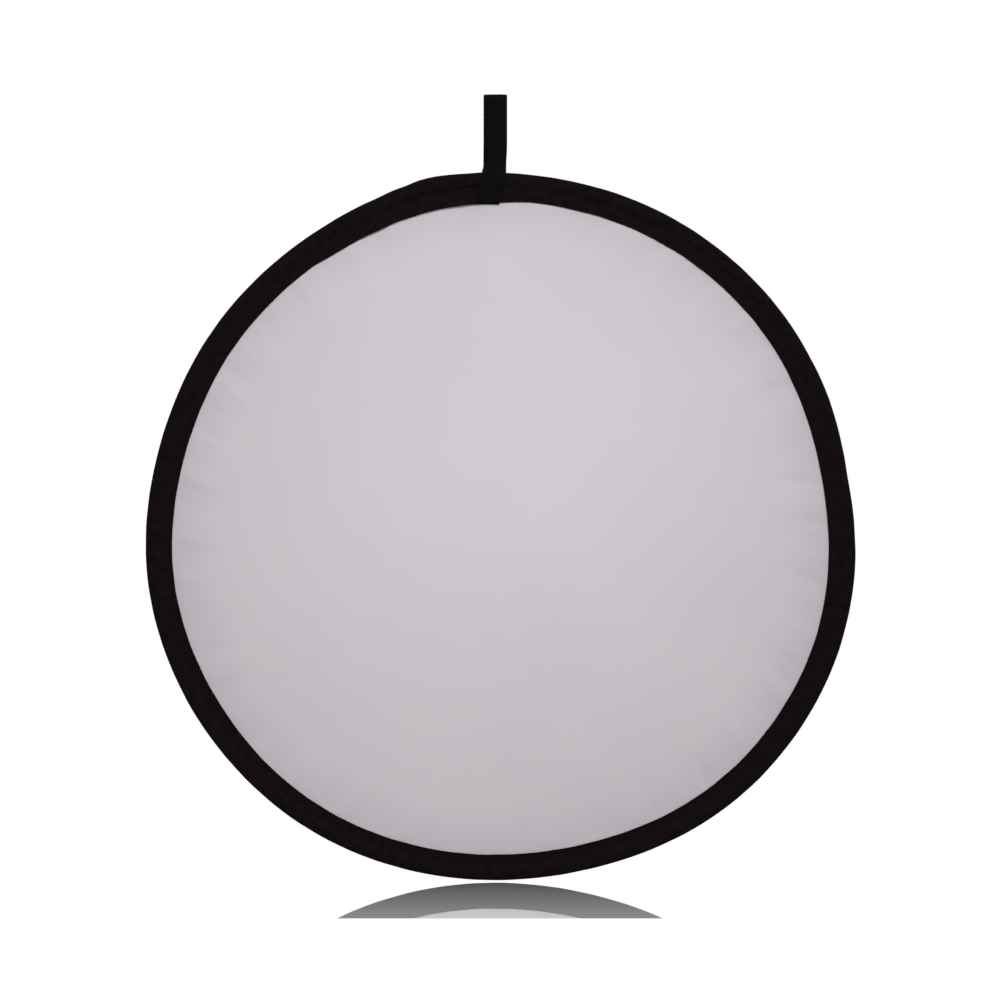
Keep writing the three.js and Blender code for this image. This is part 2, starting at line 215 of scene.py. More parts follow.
def grid_faces(rows, columns, row_u, column_v, close_rows):
    """Quads over rows of points whose columns close, with their corners' UVs."""
    count = rows if close_rows else rows - 1
    row, column = np.meshgrid(np.arange(count), np.arange(columns), indexing="ij")
    next_row, next_column = (row + 1) % rows, (column + 1) % columns
    corners = ((row, column), (row, next_column), (next_row, next_column), (next_row, column))
    faces = np.stack([r * columns + c for r, c in corners], axis=-1).reshape(-1, 4)
    ends = ((0, 0), (0, 1), (1, 1), (1, 0))
    uvs = np.stack(
        [np.stack([row_u[row + i], column_v[column + j]], axis=-1) for i, j in ends], axis=-2
    )
    return faces.tolist(), uvs.reshape(-1, 2).tolist()


def swept(name, rings, row_u, column_v, closed=False):
    """A closed body through rings of points. Each ring runs along one face of the piece and
    back along the other, so an open end is capped by quads from one face to the other."""
    rows, columns = rings.shape[:2]
    faces, uvs = grid_faces(rows, columns, row_u, column_v, closed)
    if not closed:
        for base in (0, (rows - 1) * columns):
            for k in range(columns // 2 - 1):
                back = columns - 1 - k
                faces.append([base + k, base + k + 1, base + back - 1, base + back])
                uvs += [(0, 0)] * 4
    return make_object(name, rings, faces, uvs)


def along(points):
    """Distances along a line of points."""
    steps = np.linalg.norm(np.diff(points, axis=0), axis=1)
    return np.concatenate([[0], np.cumsum(steps)])


def curve_through(points, per_span):
    """A Catmull-Rom curve through 2-D points, with per_span steps between neighbours."""
    p = np.asarray(points, float)
    p = np.vstack([2 * p[0] - p[1], p, 2 * p[-1] - p[-2]])
    t = np.linspace(0, 1, per_span, endpoint=False)[:, None]
    spans = []
    for a, b, c, d in zip(p, p[1:], p[2:], p[3:]):
        spans.append(
            0.5 * (2 * b + (c - a) * t + (2 * a - 5 * b + 4 * c - d) * t**2
                   + (3 * b - a - 3 * c + d) * t**3)
        )
    return np.vstack(spans + [p[-2:-1]])


def normals_of(line):
    """Unit normals of a 2-D line, to the right of its direction."""
    direction = np.gradient(line, axis=0)
    direction /= np.linalg.norm(direction, axis=1, keepdims=True)
    return np.stack([direction[:, 1], -direction[:, 0]], axis=-1)


# ---- Materials -----------------------------------------------------------------------------


class Nodes:
    """Short ways to add and link the nodes of one tree."""

    def __init__(self, tree):
        self.tree = tree

    def node(self, kind, **values):
        node = self.tree.nodes.new(kind)
        for key, value in values.items():
            setattr(node, key, value)
        return node

    def link(self, source, target):
        self.tree.links.new(source, target)

    def math(self, operation, first, second=0.0, **values):
        node = self.node("ShaderNodeMath", operation=operation, **values)
        for socket, value in zip(node.inputs, (first, second)):
            if isinstance(value, (int, float)):
                socket.default_value = value
            else:
                self.link(value, socket)
        return node.outputs[0]

    def plus(self, base, extra, share):
        """base, with this share of extra added."""
        return self.math("ADD", base, self.math("MULTIPLY", extra, share))

    def ranged(self, value, low, high, start=0.0, stop=1.0, **values):
        """From low to high as value goes from start to stop."""
        spread = self.node("ShaderNodeMapRange", **values)
        spread.inputs["From Min"].default_value = start
        spread.inputs["From Max"].default_value = stop
        spread.inputs["To Min"].default_value = low
        spread.inputs["To Max"].default_value = high
        self.link(value, spread.inputs["Value"])
        return spread.outputs[0]


class Finish(Nodes):
    """A node material: a Principled shader whose colour, roughness and bump are procedural."""

    def __init__(self, name, roughness, metallic=0.0, specular=0.5, sheen=0.0):
        self.material = bpy.data.materials.new(name)
        self.material.use_nodes = True
        super().__init__(self.material.node_tree)
        self.shader = self.tree.nodes["Principled BSDF"]
        self.shader.inputs["Roughness"].default_value = roughness
        self.shader.inputs["Metallic"].default_value = metallic
        self.shader.inputs["Specular IOR Level"].default_value = specular
        self.shader.inputs["Sheen Weight"].default_value = sheen
        uv = self.node("ShaderNodeUVMap")
        uv.uv_map = "cloth"
        split = self.node("ShaderNodeSeparateXYZ")
        self.link(uv.outputs["UV"], split.inputs[0])
        self.uv, self.u, self.v = uv.outputs["UV"], split.outputs["X"], split.outputs["Y"]

    def wave(self, coordinate, pitch):
        """A sine along a coordinate, one crest every pitch metres."""
        return self.math("SINE", self.math("MULTIPLY", coordinate, 2 * math.pi / pitch))

    def weave(self, pitch):
        """Over and under of a plain weave: crests in a chequer."""
        return self.math(
            "MULTIPLY", self.wave(self.u, 2 * pitch), self.wave(self.v, 2 * pitch)
        )

    def noise(self, size, detail=3.0, vector=None):
        node = self.node("ShaderNodeTexNoise")
        node.inputs["Scale"].default_value = 1 / size
        node.inputs["Detail"].default_value = detail
        self.link(vector or self.uv, node.inputs["Vector"])
        return node.outputs[0]

    def bump(self, height, distance, strength=1.0):
        """Adds a bump on top of those made before."""
        node = self.node("ShaderNodeBump")
        node.inputs["Strength"].default_value = strength
        node.inputs["Distance"].default_value = distance
        self.link(height, node.inputs["Height"])
        before = self.shader.inputs["Normal"]
        if before.links:
            self.link(before.links[0].from_socket, node.inputs["Normal"])
        self.link(node.outputs["Normal"], before)

    def colour(self, factor, dark, light, low=0.3, high=0.7):
        """Base colour from dark to light as factor goes from low to high."""
        ramp = self.node("ShaderNodeValToRGB")
        ramp.color_ramp.elements[0].position = low
        ramp.color_ramp.elements[0].color = (*dark, 1)
        ramp.color_ramp.elements[1].position = high
        ramp.color_ramp.elements[1].color = (*light, 1)
        self.link(factor, ramp.inputs["Fac"])
        self.link(ramp.outputs["Color"], self.shader.inputs["Base Color"])

    def roughness(self, factor, low, high):
        """Roughness from low to high as factor goes from 0 to 1."""
        self.link(self.ranged(factor, low, high), self.shader.inputs["Roughness"])

    def put_on(self, obj):
        obj.data.materials.clear()
        obj.data.materials.append(self.material)


SEAM_SHADE_WIDTH = 65 * MM           # in from the rim, of the painted shade on the white cloth towards the seam
SEAM_SHADE_DEPTH = 0.75              # of painted shade taken off its lightness at the rim, on a scale of 1
TONE_SIZE = 90 * MM            # of the patches of uneven tone


def white_fabric():
    finish = Finish("white_fabric", roughness=0.62, specular=0.35, sheen=0.15)
    # Painted shade: the cloth's colour darkens towards the seam, where it meets the binding.
    from_middle = finish.node("ShaderNodeVectorMath", operation="DISTANCE")
    finish.link(finish.uv, from_middle.inputs[0])
    from_middle.inputs[1].default_value = (CENTRE_X, CENTRE_Z, 0)
    painted_seam_shade = finish.ranged(
        from_middle.outputs["Value"], 0, SEAM_SHADE_DEPTH, RIM_RADIUS - SEAM_SHADE_WIDTH, RIM_RADIUS,
        interpolation_type="SMOOTHSTEP",
    )
    clean = finish.math("ADD", finish.math("MULTIPLY", finish.noise(TONE_SIZE, 2.0), 0.3), 0.6)
    # Random tone, less the painted shade at the seam.
    tone_and_shade = finish.math("SUBTRACT", clean, painted_seam_shade)
    finish.colour(tone_and_shade, (0.495, 0.464, 0.499), (0.5925, 0.561, 0.5905), 0, 1)
    finish.bump(finish.weave(0.34 * MM), 0.03 * MM, 0.6)
    finish.bump(finish.noise(14 * MM, 2.0), 0.10 * MM, 0.6)
    finish.roughness(finish.noise(0.03), 0.56, 0.68)
    return finish


def silver_fabric():
    finish = Finish("silver_fabric", roughness=0.36, metallic=0.88, specular=0.5)
    finish.colour(finish.noise(6 * MM, 4.0), (0.42, 0.425, 0.44), (0.52, 0.525, 0.535))
    finish.bump(finish.weave(0.4 * MM), 0.05 * MM, 0.8)
    finish.bump(finish.noise(5 * MM, 3.0), 0.2 * MM, 0.6)
    finish.roughness(finish.noise(4 * MM), 0.3, 0.44)
    return finish


def binding_cloth():
    finish = Finish("binding_cloth", roughness=0.85, specular=0.03)
    worn = finish.plus(finish.noise(7 * MM, 4.0), finish.weave(0.5 * MM), 0.1)
    finish.colour(worn, (0.0043, 0.0026, 0.0028), (0.0083, 0.0053, 0.0056))
    finish.bump(finish.weave(0.5 * MM), 0.09 * MM, 0.8)
    finish.bump(finish.noise(3.5 * MM), 0.12 * MM, 0.6)
    finish.roughness(finish.noise(8 * MM), 0.75, 0.92)
    return finish


def black_webbing():
    finish = Finish("black_webbing", roughness=0.75, specular=0.035)
    rib = finish.wave(finish.u, RIB_PITCH)
    yarn = finish.wave(finish.plus(finish.v, finish.u, 0.6), 0.42 * MM)
    worn = finish.plus(finish.noise(2.5 * MM, 4.0), rib, 0.12)
    finish.colour(worn, (0.0020, 0.0018, 0.0019), (0.0045, 0.0041, 0.0044))
    finish.bump(yarn, 0.06 * MM, 0.8)
    finish.bump(rib, 0.06 * MM, 0.6)
    finish.roughness(finish.noise(3 * MM), 0.66, 0.84)
    return finish


def black_thread():
    finish = Finish("black_thread", roughness=0.7, specular=0.04)
    twist = finish.wave(finish.math("ADD", finish.u, finish.v), 0.35 * MM)
    worn = finish.plus(finish.noise(2 * MM), twist, 0.25)
    finish.colour(worn, (0.0034, 0.0027, 0.0030), (0.0080, 0.0066, 0.0071))
    finish.bump(twist, 0.05 * MM, 0.8)
    return finish


def metal(name, dark, light, grain_pitch):
    """A drawn or plated steel with fine grain. It takes object coordinates, so that frame
    nodes, which have no UV map, can wear it."""
    finish = Finish(name, roughness=0.35, metallic=1.0)
    place = finish.node("ShaderNodeTexCoord").outputs["Object"]
    finish.colour(finish.noise(3 * MM, 5.0, place), dark, light)
    finish.bump(finish.noise(grain_pitch, 2.0, place), 0.02 * MM, 0.5)
    finish.roughness(finish.noise(1.5 * MM, 3.0, place), 0.28, 0.46)
    return finish


def shrink_plastic():
    finish = Finish("shrink_plastic", roughness=0.5)
    place = finish.node("ShaderNodeTexCoord").outputs["Object"]
    finish.colour(finish.noise(4 * MM, 3.0, place), (0.018, 0.018, 0.019), (0.032, 0.031, 0.033))
    finish.bump(finish.noise(2 * MM, 3.0, place), 0.06 * MM, 0.6)
    return finish


# ---- Binding -------------------------------------------------------------------------------

# Half of the tape's middle line, from its inner edge to the nose: inset and y, millimetres.
HALF_WRAP = (
    (22.2, 1.02), (21.4, 1.22), (20.6, 1.20), (19.7, 1.0), (18.8, 1.18), (17.4, 1.34),
    (15.2, 1.32), (13.4, 1.36), (12.0, 1.62), (10.4, 2.25), (8.8, 2.86), (7.0, 3.08),
    (5.0, 3.12), (3.2, 3.08), (1.9, 2.86), (0.95, 2.3), (0.42, 1.4), (0.3, 0.5),
)
WRAP_STEPS = 2                 # curve steps between those points
BINDING_STEP = 0.5             # degrees between sections
ON_BAND = (8.5 * MM, 11.8 * MM)  # the tape lies on the band up to the first, off it past the second
LEAF_FROM = 11 * MM            # its flat leaf bellies between here and the seam
LEAF_DEPTH = 8.7 * MM
LIP = (20.2 * MM, 22.2 * MM)   # the free edge, past the seam
PUCKER_SLANT = 0.14            # degrees for each millimetre of inset
# Waves round the rim: height, how many crests in each part, seed.
EDGE_SWAY = (0.10 * MM, (19, 43, 67), 5)
RIM_LUMPS = (0.06 * MM, (31, 47, 71), 7)
PUCKERS = (0.20 * MM, (173, 241, 331), 11)
FOLDS = (0.13 * MM, (57, 89, 121), 13)
BELLY_SHARE = 0.8              # of the puckers' height, in the leaf's middle
CORD_HEIGHT = 0.07 * MM        # of long wrinkles over the band
CORD_RATE = 2.4                # radians for each millimetre of inset
CORD_WANDER = (1.5, (11, 23, 37), 17)


def wrap_section():
    """The tape's middle line, from one free edge over the nose to the other, and its normals."""
    half = curve_through(HALF_WRAP, WRAP_STEPS) * MM
    mirrored = half[::-1] * (1, -1)
    line = np.vstack([half, mirrored])
    normal = normals_of(line)
    if normal[0, 1] < 0:
        normal = -normal
    return line, normal


def binding_rings(degs):
    """The tape's sections, and its middle line. Each section runs along the tape's outer face
    and back along its inner one."""
    line, normal = wrap_section()
    inset, y = line[:, 0][None, :], line[:, 1][None, :]
    side = np.sign(y)
    deg = degs[:, None]
    place = wrapped(deg)
    second = smooth(deg, 360 + LAP_EASE[0], 360 + LAP_EASE[1])
    depth = inset / (HALF_WRAP[0][0] * MM)
    over_band = 1 - smooth(inset, *ON_BAND)
    on_leaf = 1 - over_band

    widen = DEPTH_GAIN + DEPTH_SWAY * np.cos(np.radians(deg))
    for more, start, stop in DEPTH_STEPS:
        widen = widen + more * smooth(deg, start, stop)
    inset = inset + (widen + rim_wave(deg, EDGE_SWAY)) * depth**3
    lump = rim_wave(deg, RIM_LUMPS)
    for rise, at, reach in BULGES:
        lump = lump + rise * np.exp(-((wrapped(deg - at) / reach) ** 2))
    lump = lump * over_band

    swell = SWELL * over_joint(place, SWELL_EASE) * over_band
    belly = np.sin(np.pi * np.clip((inset - LEAF_FROM) / LEAF_DEPTH, 0, 1))
    edge = smooth(inset, *LIP)
    slant = deg + inset / MM * PUCKER_SLANT * side
    pucker = rim_wave(slant, PUCKERS) * (belly * BELLY_SHARE + edge)
    fold = rim_wave(slant, FOLDS) * on_leaf * belly
    cord = CORD_HEIGHT * np.sin(inset / MM * CORD_RATE + rim_wave(deg, CORD_WANDER)) * over_band
    out = swell + (pucker + fold) + cord * np.abs(side)

    grow = LAP_RISE * second
    rows = []
    for face in (1, -1):
        offset = grow + face * CLOTH / 2
        at_inset = inset - lump + normal[:, 0][None, :] * offset
        at_y = y + side * out + normal[:, 1][None, :] * offset
        rows.append(rim_points(np.broadcast_to(deg, at_y.shape), at_inset, at_y))
    return np.concatenate([rows[0], rows[1][:, ::-1]], axis=1), line


def build_binding():
    degs = np.arange(BINDING_FROM, BINDING_TO + BINDING_STEP / 2, BINDING_STEP)
    rings, line = binding_rings(degs)
    across = along(line)
    column_v = np.concatenate([across, across[::-1], across[:1]])
    binding = swept("binding", rings, np.radians(degs) * RIM_RADIUS, column_v)
    binding_cloth().put_on(binding)
    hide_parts("binding_upper", "binding_lower", "binding_lap")
    return binding


# ---- Panels --------------------------------------------------------------------------------

PANEL_SECTORS = 420
EDGE_RINGS = 44                # in the puckered edge
EDGE_WIDTH = 85 * MM
MIDDLE_RINGS = 40
# The arcs that coiling leaves: centre from the disc's middle and radius in metres, depth in mm.
CREASES = (
    (-0.34, 0.24, 0.40, 0.11),
    (0.31, 0.36, 0.37, 0.10),
    (0.42, -0.20, 0.36, 0.09),
    (-0.22, -0.44, 0.40, 0.10),
    (0.05, 0.62, 0.50, 0.08),
)
CREASE_WIDTH = 5 * MM
PUCKER_FROM = 6 * MM           # in from the panel's edge
PUCKER_CREST = 17 * MM
PANEL_SLANT = 0.05             # degrees for each millimetre in from the edge
PANEL_PUCKERS = (0.20 * MM, (61, 97, 139, 181), 23)
PANEL_PULLS = (0.30 * MM, (17, 29, 41), 29)
CLEAR_OF_SEAM = (10 * MM, 80 * MM)  # the soft waves and the arcs grow between these
SOFT_HEIGHT = 0.35 * MM
# Soft waves over the cloth: share of that height, radians per metre in x and z, phase.
SOFT_WAVES = ((1, 17, 9, 0.7), (1, -7, 23, 2.1), (0.5, 31, 4, 0))


def cloth_relief(deg, radius, edge_radius):
    """How far both panels stand forward of flat: puckers along the seam, soft waves and the
    shallow arcs that coiling the disc leaves."""
    from_edge = edge_radius - radius
    near = smooth(from_edge, PUCKER_FROM, PUCKER_CREST)
    near = near * (1 - smooth(from_edge, PUCKER_CREST, EDGE_WIDTH)) ** 2
    pucker = rim_wave(deg + from_edge / MM * PANEL_SLANT, PANEL_PUCKERS) * near
    pull = rim_wave(deg, PANEL_PULLS) * near
    x, z = radius * np.sin(np.radians(deg)), radius * np.cos(np.radians(deg))
    inside = smooth(from_edge, *CLEAR_OF_SEAM)
    soft = SOFT_HEIGHT * inside * sum(
        share * np.sin(x * per_x + z * per_z + phase) for share, per_x, per_z, phase in SOFT_WAVES
    )
    crease = 0
    for at_x, at_z, size, depth in CREASES:
        away = np.hypot(x - at_x, z - at_z) - size
        crease = crease + depth * MM * np.exp(-((away / CREASE_WIDTH) ** 2))
    return pucker + pull + soft - crease * inside


def build_panel(name, side, finish, nodes):
    """side is -1 for the front panel and 1 for the back one."""
    degs = np.arange(PANEL_SECTORS) * (360 / PANEL_SECTORS)
    edge_radius = rim_radius(degs) - PANEL_INSET
    edge_share = EDGE_WIDTH / RIM_RADIUS
    share = np.concatenate([
        np.linspace(0, 1 - edge_share, MIDDLE_RINGS, endpoint=False)[1:],
        np.linspace(1 - edge_share, 1, EDGE_RINGS),
    ])
    radius = share[:, None] * edge_radius[None, :]
    deg = np.broadcast_to(degs[None, :], radius.shape)
    relief = -cloth_relief(deg, radius, edge_radius[None, :])
    angle = np.radians(deg)
    x, z = CENTRE_X + radius * np.sin(angle), CENTRE_Z + radius * np.cos(angle)
    layers = []
    for face in (1, -1):
        y = side * PANEL_Y + relief + face * side * PANEL_THICK / 2
        layers.append(np.stack([x, y, z], axis=-1))
    rings = np.concatenate([layers[0], layers[1][::-1]])
    rows, columns = rings.shape[:2]
    faces, _ = grid_faces(rows, columns, np.zeros(rows + 1), np.zeros(columns + 1), False)
    points = rings.reshape(-1, 3)
    for base, ring, face in ((0, layers[0][0], 1), ((rows - 1) * columns, layers[1][0], -1)):
        middle = len(points)
        points = np.vstack([points, [CENTRE_X, ring[:, 1].mean(), CENTRE_Z]])
        faces += [[middle, base + k, base + (k + 1) % columns] for k in range(columns)]
    flat = points[:, (0, 2)]
    uvs = flat[np.concatenate([np.asarray(face) for face in faces])]
    panel = make_object(name, points, faces, uvs)
    finish.put_on(panel)
    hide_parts(*nodes)
    return panel


# ---- Seam threads --------------------------------------------------------------------------

STITCH = 3.0 * MM
STITCH_STEPS = 8
THREAD = 0.5 * MM
THREAD_SIDES = 8
STITCH_RISE = 0.62 * MM        # of a stitch's middle over its ends
STITCH_SINK = 0.42 * MM        # of its ends, into the cloth
STITCH_SLANT = 0.5 * MM        # across the row
SEAM_WANDER = (0.12 * MM, (37, 71, 113), 31)
LAP_DROP = 1.0                 # degrees over which the row comes down off the second layer


def thread_tube(name, centre, closed, thickness=THREAD):
    """A round thread along a line of points, with its own twist in the UV map."""
    if closed:
        direction = np.roll(centre, -1, axis=0) - np.roll(centre, 1, axis=0)
    else:
        direction = np.gradient(centre, axis=0)
    direction /= np.linalg.norm(direction, axis=1, keepdims=True)
    side = np.cross(direction, (0.0, 1.0, 0.0))
    side /= np.linalg.norm(side, axis=1, keepdims=True)
    up = np.cross(side, direction)
    turn = np.linspace(0, 2 * np.pi, THREAD_SIDES, endpoint=False)
    ring = (
        side[:, None, :] * np.cos(turn)[None, :, None] + up[:, None, :] * np.sin(turn)[None, :, None]
    )
    rings = centre[:, None, :] + ring * thickness / 2
    step = np.linalg.norm(np.diff(centre, axis=0), axis=1).mean()
    row_u = np.arange(len(centre) + 1) * step
    column_v = np.linspace(0, np.pi * thickness, THREAD_SIDES + 1)
    return swept(name, rings, row_u, column_v, closed)


def build_seam(name, side, finish, nodes):
    """One row of stitches. side is -1 in front and 1 behind."""
    stitches = round(2 * math.pi * (RIM_RADIUS - SEAM_INSET) / STITCH)
    steps = stitches * STITCH_STEPS
    degs = np.arange(steps) * (360 / steps)
    phase = (np.arange(steps) % STITCH_STEPS) / STITCH_STEPS
    lift = np.sqrt(np.abs(np.sin(np.pi * phase))) * STITCH_RISE - STITCH_SINK
    slant = (phase - 0.5) * STITCH_SLANT * np.clip(np.sin(np.pi * phase) * 2, 0, 1)
    place = wrapped(degs)
    lap = LAP_RISE * smooth(place, *LAP_EASE) * (1 - smooth(place, LAP_END, LAP_END + LAP_DROP))
    inset = SEAM_INSET + slant + rim_wave(degs, SEAM_WANDER)
    sway = DEPTH_SWAY * np.cos(np.radians(degs)) * (SEAM_INSET / (HALF_WRAP[0][0] * MM)) ** 3
    y = side * (SEAM_Y + lap + lift)
    thread = thread_tube(name, rim_points(degs, inset + sway, y), True)
    finish.put_on(thread)
    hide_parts(*nodes)
    return thread


# ---- Strap ---------------------------------------------------------------------------------

LOOP_HALF_GAP = 4 * MM
STRAP_STEP = 0.3 * MM          # between its cross-sections
STRAP_CURVE_STEPS = 40         # between the points of its path, before they are evened out
STRAP_ACROSS = 22              # points across each face
EDGE_CROWD = 0.8               # below 1 it moves those points towards the edges
EDGE_FROM = 0.93               # of the half width, where the webbing starts to round off
EDGE_ROUND = 0.07              # and how much of it that takes
EDGE_THICK = 0.25              # of its thickness, left at the very edge
PINCH_GAP = 0.2 * MM           # from the middle to each leg, where the two meet above the rim
RIB_HEIGHT = 0.05 * MM
FLARE = 0.35 * MM              # the webbing is pressed wider on each side, over the rim
CRIMP_PITCH = 2.9 * MM         # of the creases that the turn at the top leaves below it
CRIMP_HEIGHT = 0.14 * MM
RIDGE_AT = 4.4 * MM            # a pulled yarn along the webbing, right of its middle
RIDGE_HEIGHT = 0.10 * MM
RIDGE_WIDTH = 1.3 * MM
NARROWING = 0.025              # of its width, just above the rim
CUP = 0.14 * MM                # its edges bend in by this, in the loop
SELVEDGE_AT = 0.86             # a fine groove beside the woven edge, in half widths
SELVEDGE_WIDTH = 0.05
SELVEDGE_DEPTH = 0.09 * MM


def strap_path():
    """The middle of the webbing in y and z, from the front leg's end over the loop to the
    back leg's end."""
    bulge = LOOP_HALF_GAP + STRAP_THICK / 2
    pinch = STRAP_THICK / 2 + PINCH_GAP
    top = LOOP_TOP + STRAP_PROUD - STRAP_THICK / 2 - bulge
    half = [
        (-3.15 * MM, LEG_END),
        (-3.1 * MM, LEG_END + 6 * MM),
        (-3.3 * MM, RIM_TOP - 14.5 * MM),
        (-4.1 * MM, RIM_TOP - 11 * MM),
        (-4.95 * MM, RIM_TOP - 7.5 * MM),
        (-5.0 * MM, RIM_TOP - 3.5 * MM),
        (-4.7 * MM, RIM_TOP - 0.6 * MM),
        (-2.9 * MM, RIM_TOP + 1.6 * MM),
        (-pinch - 0.25 * MM, HINGE_Z + 1.2 * MM),
        (-pinch, HINGE_Z + 4.5 * MM),
        (-pinch - 0.7 * MM, HINGE_Z + 10 * MM),
        (-pinch - 2.1 * MM, HINGE_Z + 17 * MM),
        (-bulge + 0.5 * MM, HINGE_Z + 26 * MM),
        (-bulge, HINGE_Z + 36 * MM),
        (-bulge, top - 6 * MM),
        (-bulge, top),
    ]
    for turn in (30, 60):
        angle = math.radians(turn)
        half.append((-bulge * math.cos(angle), top + bulge * math.sin(angle)))
    back = [(-y, z) for y, z in reversed(half)]
    curve = curve_through(half + [(0, top + bulge)] + back, STRAP_CURVE_STEPS)
    length = along(curve)
    even = np.linspace(0, length[-1], round(length[-1] / STRAP_STEP))
    return np.stack([np.interp(even, length, curve[:, k]) for k in (0, 1)], axis=-1)


def strap_rings():
    """The webbing's sections, the distance of each along it, and the places across it."""
    path = strap_path()
    normal = normals_of(path)
    if normal[0, 0] > 0:
        normal = -normal
    length = along(path)
    height = path[:, 1]
    across = np.linspace(-1, 1, STRAP_ACROSS)
    across = np.sign(across) * np.abs(across) ** EDGE_CROWD
    past = np.clip((np.abs(across) - EDGE_FROM) / EDGE_ROUND, 0, 1)
    edge = np.sqrt(np.clip(1 - past**2, 0, 1))

    narrow = 1 - NARROWING * plateau(height, RIM_TOP + 2 * MM, RIM_TOP + 9 * MM, 10 * MM)
    flare = smooth(height, LEG_END, RIM_TOP - 2 * MM)
    flare = flare * (1 - smooth(height, RIM_TOP, RIM_TOP + 6.5 * MM)) ** 2
    half_width = STRAP_WIDTH / 2 * narrow + FLARE * flare
    down = 1 - smooth(height, LEG_END, HINGE_Z + 4 * MM)
    front = length < length[-1] / 2
    shift = np.where(front, LEG_SHIFT, LEG_SHIFT * BACK_SLANT) * down - FLARE * 0.25 * flare
    lean = STRAP_LEAN * (1 - smooth(height, RIM_TOP + 2 * MM, RIM_TOP + 26 * MM))
    x = (STRAP_SHIFT + shift - lean)[:, None] + half_width[:, None] * across[None, :]

    rib = RIB_HEIGHT * np.sin(length / RIB_PITCH * 2 * np.pi)[:, None] * edge[None, :]
    free = smooth(height, RIM_TOP + 4 * MM, RIM_TOP + 14 * MM)
    cup = CUP * (across[None, :] ** 2) * free[:, None]
    beside = (np.abs(across) - SELVEDGE_AT) / SELVEDGE_WIDTH
    selvedge = SELVEDGE_DEPTH * np.exp(-(beside**2))[None, :]
    below_top = plateau(height, LOOP_TOP - 15 * MM, LOOP_TOP - 5 * MM, 3 * MM)
    crimp = CRIMP_HEIGHT * np.sin((LOOP_TOP - height) / CRIMP_PITCH * 2 * np.pi) * below_top
    crimp = crimp[:, None] * (1 - smooth(across, 0.1, 0.7))[None, :]
    ridge = RIDGE_HEIGHT * np.exp(-(((across * STRAP_WIDTH / 2 - RIDGE_AT) / RIDGE_WIDTH) ** 2))
    rib = rib + (crimp + ridge[None, :]) * edge[None, :]
    rows = []
    for face in (1, -1):
        thick = EDGE_THICK + (1 - EDGE_THICK) * edge[None, :]
        out = face * (STRAP_THICK / 2 * thick + rib - selvedge) - cup
        y = path[:, 0][:, None] + normal[:, 0][:, None] * out
        z = path[:, 1][:, None] + normal[:, 1][:, None] * out
        rows.append(np.stack([x, y, z], axis=-1))
    rings = np.concatenate([rows[0], rows[1][:, ::-1]], axis=1)
    column_v = np.concatenate([across, across[::-1], across[:1]]) * STRAP_WIDTH / 2
    return rings, length, column_v


def build_strap():
    rings, length, column_v = strap_rings()
    strap = swept("strap", rings, length, column_v)
    black_webbing().put_on(strap)
    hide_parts("strap_loop", "strap_leg_front", "strap_leg_back")
    return strap


TACK_LENGTH = 14 * MM
TACK_HEIGHT = 1.5 * MM
TACK_TURNS = 26
TACK_STEPS = 8
TACK_THREAD = 0.38 * MM
TACK_CREST = 0.22 * MM         # of each stitch over its ends
TACK_TURN = 1.6                # above 1 it flattens the ends of the zigzag
# Each bar: the height of the cloth that it lies on, and its share of the leg's slant.
TACK_PLACES = (("upper", 5.75 * MM, 0.25), ("lower", 3.85 * MM, 0.75))


def build_tack(name, side, node, finish, surface_y, shift):
    """A bar of close zigzag stitches in one thread."""
    low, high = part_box(node)
    middle_z = (low.z + high.z) / 2
    turns = np.linspace(0, TACK_TURNS, TACK_TURNS * TACK_STEPS + 1)
    swing = np.clip(np.sin(np.pi * turns) * TACK_TURN, -1, 1)
    crest = TACK_CREST * (1 - np.abs(swing) ** 3)
    points = np.stack([
        shift + TACK_LENGTH * (turns / TACK_TURNS - 0.5),
        side * (surface_y + crest),
        middle_z + swing * TACK_HEIGHT / 2,
    ], axis=-1)
    tack = thread_tube(name, points, False, TACK_THREAD)
    finish.put_on(tack)
    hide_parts(node)
    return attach(tack, "upper_half")


# ---- Spring band ---------------------------------------------------------------------------


BAND_BEVEL = 0.15 * MM
BAND_EASE = 4                  # degrees over which each end moves aside for the other


def build_band(finish):
    """The whole band, from its outer end in the sleeve round to its inner end."""
    degs = np.arange(BAND_ENDS[0], 360 + BAND_ENDS[1] + 0.5, 1.0)
    place = degs - np.where(degs > 180, 360, 0)
    lapped = over_joint(place, BAND_EASE)
    shift = BAND_SHIFT * lapped * np.where(degs > 180, -1, 1)
    half_y, half_r, bevel = BAND_WIDTH / 2, BAND_THICK / 2, BAND_BEVEL
    outer = [(half_r, -half_y + bevel), (half_r, half_y - bevel)]
    inner = [(-half_r + bevel, -half_y), (-half_r, -half_y + bevel), (-half_r, half_y - bevel),
             (-half_r + bevel, half_y)]
    section = np.array([(half_r - bevel, -half_y)] + outer + [(half_r - bevel, half_y)] + inner[::-1])
    inset = BAND_INSET - shift[:, None] - section[None, :, 0]
    y = np.broadcast_to(section[None, :, 1], inset.shape)
    rings = rim_points(np.broadcast_to(degs[:, None], inset.shape), inset, y)
    band = swept("spring_band", rings, np.radians(degs) * RIM_RADIUS, np.zeros(len(section) + 1))
    finish.put_on(band)
    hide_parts("spring_band_left_end", "spring_band_right_end", "spring_band_lower")
    return band


def finish_joint():
    zinc = metal("zinc_steel", (0.42, 0.43, 0.44), (0.62, 0.63, 0.64), 0.6 * MM)
    for node in ("joint_sleeve", "joint_rivet_1", "joint_rivet_2"):
        zinc.put_on(frame["nodes"][node])
    shrink_plastic().put_on(frame["nodes"]["joint_shrink_tube"])


# ---- Camera, light and floor ---------------------------------------------------------------

VIEW_WIDTH = 0.848             # of the picture, at the disc
VIEW_DISTANCE = 2.5
VIEW_UP = 25.8 * MM            # the picture's middle is this far above the disc's
VIEW_LEFT = 1.65 * MM          # and this far to its left
SENSOR = 36.0                  # millimetres


